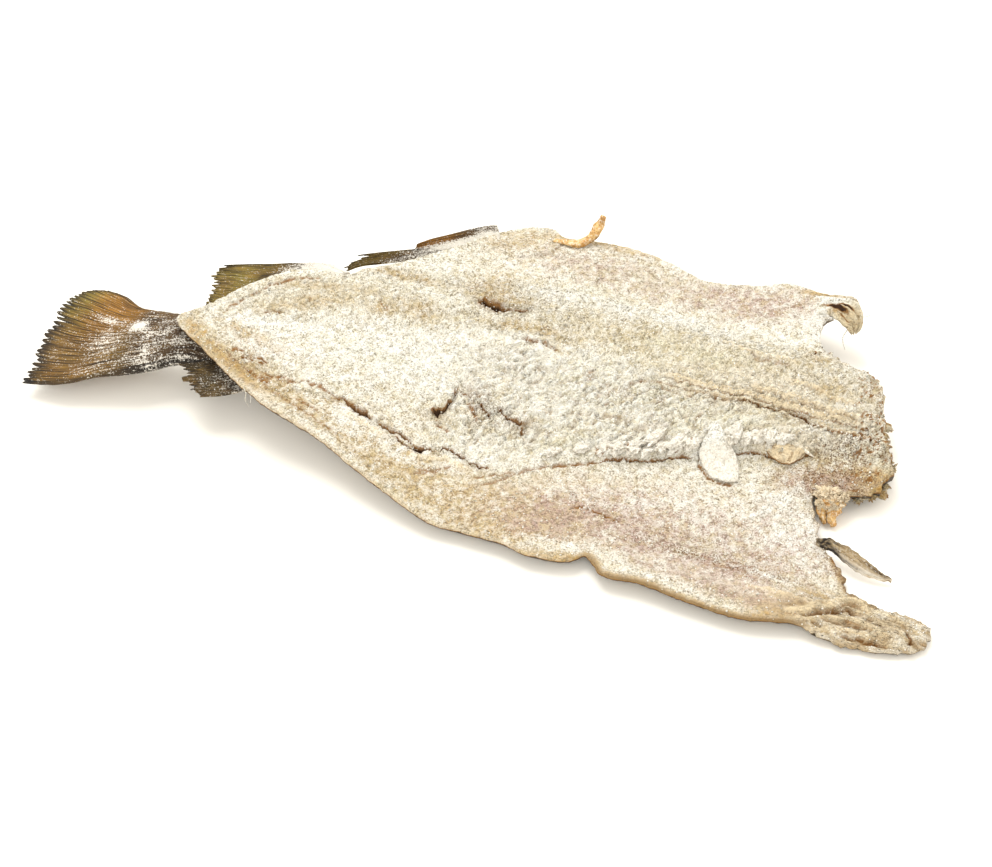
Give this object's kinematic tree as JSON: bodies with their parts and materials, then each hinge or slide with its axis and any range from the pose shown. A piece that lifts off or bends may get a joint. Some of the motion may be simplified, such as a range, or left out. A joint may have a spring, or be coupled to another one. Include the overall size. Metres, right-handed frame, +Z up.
{
  "type": "salted dried cod",
  "caption": "Split, headless cod, salted and dried flat with its tail on, lying skin down: ridged pale flesh, thin belly flaps, a curled shoulder edge and dark ragged fins.",
  "frame": {"origin": "middle of the fish seen from above, on the surface that it lies on", "axes": "+X along the fish from the tail to the shoulders, +Y to the far flank, +Z up"},
  "size_m": [0.6428, 0.3546, 0.0552],
  "materials": {
    "flesh": "dry cream to greyish pink fish meat frosted with salt, rough and matt",
    "skin": "dried grey-brown fish skin with white salt caught in it, matt",
    "fins": "dried olive to golden-brown fin rays and web, slightly glossy",
    "scraps": "dried golden-brown membrane and gut, a little translucent",
    "salt": "coarse white salt crystals, frosted"
  },
  "bodies": {
    "root": {"salt_cod": "flesh"}
  },
  "joints": []
}
